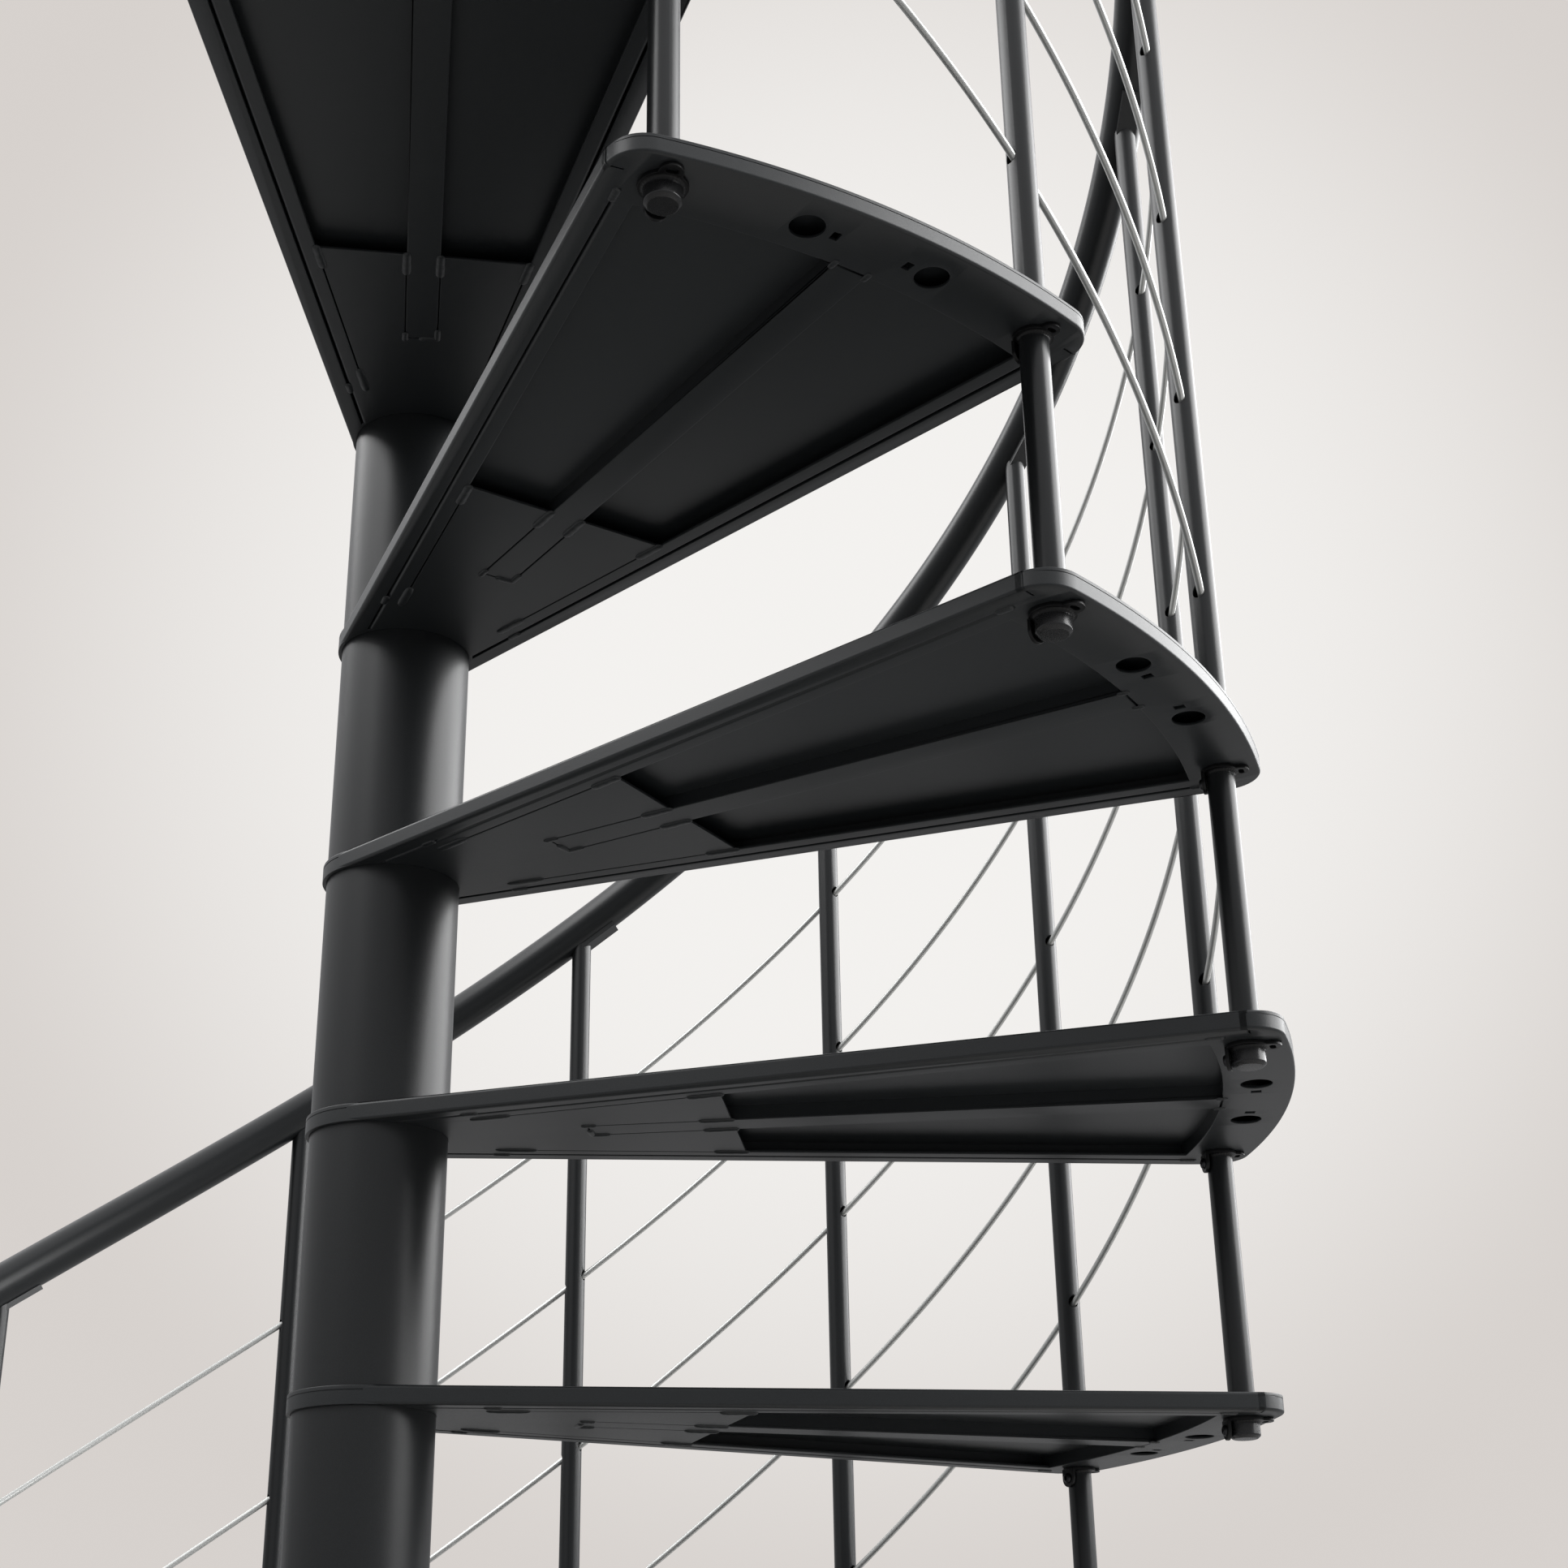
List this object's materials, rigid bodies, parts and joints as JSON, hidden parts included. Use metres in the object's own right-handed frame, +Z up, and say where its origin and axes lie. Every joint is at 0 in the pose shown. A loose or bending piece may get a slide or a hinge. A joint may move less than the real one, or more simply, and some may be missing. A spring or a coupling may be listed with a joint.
{
  "type": "spiral staircase",
  "caption": "Spiral staircase of folded steel wedge treads round a tubular column, with round posts, a helical tube handrail and helical guard rods.",
  "frame": {"origin": "centre of the base plate's underside, on the floor and on the column's axis", "axes": "+Z up the column; -Y is the side seen first, with the upper treads to its right; the stair climbs clockwise seen from above"},
  "size_m": [1.5, 1.5, 4.1172],
  "materials": {
    "treads": "anthracite fine-texture satin powder coat",
    "column": "anthracite fine-texture satin powder coat",
    "railing": "anthracite satin powder coat, smooth",
    "guard_rod": "drawn stainless bar"
  },
  "bodies": {
    "root": {"base_plate": "column", "column": "column", "column_cap": "column", "tread_01": "treads", "tread_02": "treads", "tread_03": "treads", "tread_04": "treads", "tread_05": "treads", "tread_06": "treads", "tread_07": "treads", "tread_08": "treads", "tread_09": "treads", "tread_10": "treads", "tread_11": "treads", "tread_12": "treads", "post_01": "railing", "post_02": "railing", "post_03": "railing", "post_04": "railing", "post_05": "railing", "post_06": "railing", "post_07": "railing", "post_08": "railing", "post_09": "railing", "post_10": "railing", "post_11": "railing", "post_12": "railing", "post_13": "railing", "post_foot": "railing", "post_end_caps": "railing", "post_brackets": "railing", "rail_saddles": "railing", "handrail": "railing", "rod_1": "guard_rod", "rod_2": "guard_rod", "rod_3": "guard_rod", "rod_4": "guard_rod", "rod_5": "guard_rod"}
  },
  "joints": []
}
